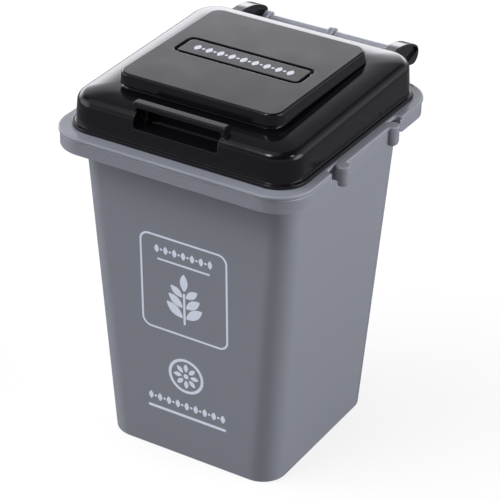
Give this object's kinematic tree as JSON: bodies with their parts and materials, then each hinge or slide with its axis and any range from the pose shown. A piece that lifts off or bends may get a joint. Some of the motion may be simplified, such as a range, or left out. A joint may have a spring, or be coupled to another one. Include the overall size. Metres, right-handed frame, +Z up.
{
  "type": "countertop waste bin",
  "caption": "Tapered desktop bin with a notched, skirted rim and a flip-up lid that swings back on a rear hinge bar; the lid has a finger recess under a grip bar and a raised top panel.",
  "frame": {"origin": "centre of the base, on the surface that the bin stands on", "axes": "+Z up; -Y is the front with the finger grip; +Y the back with the hinge; +X to the right seen from the front"},
  "size_m": [0.0818, 0.0916, 0.115],
  "materials": {
    "bin_plastic": "satin-gloss moulded plastic, cool grey",
    "rod_plastic": "satin-gloss moulded plastic, cool grey",
    "lid_plastic": "high-gloss moulded plastic, black",
    "cap_plastic": "high-gloss moulded plastic, black",
    "plate_plastic": "high-gloss moulded plastic, black"
  },
  "bodies": {
    "bin": {"bin_body": "bin_plastic", "hinge_rod": "rod_plastic"},
    "lid": {"lid_shell": "lid_plastic", "lid_cap": "cap_plastic", "name_plate": "plate_plastic"}
  },
  "joints": [
    {"name": "lid_hinge", "type": "hinge", "parent": "bin", "child": "lid", "pos_m": [0, 0.0489, 0.1033], "axis": [-1, 0, 0], "range_deg": [0, 270]}
  ]
}
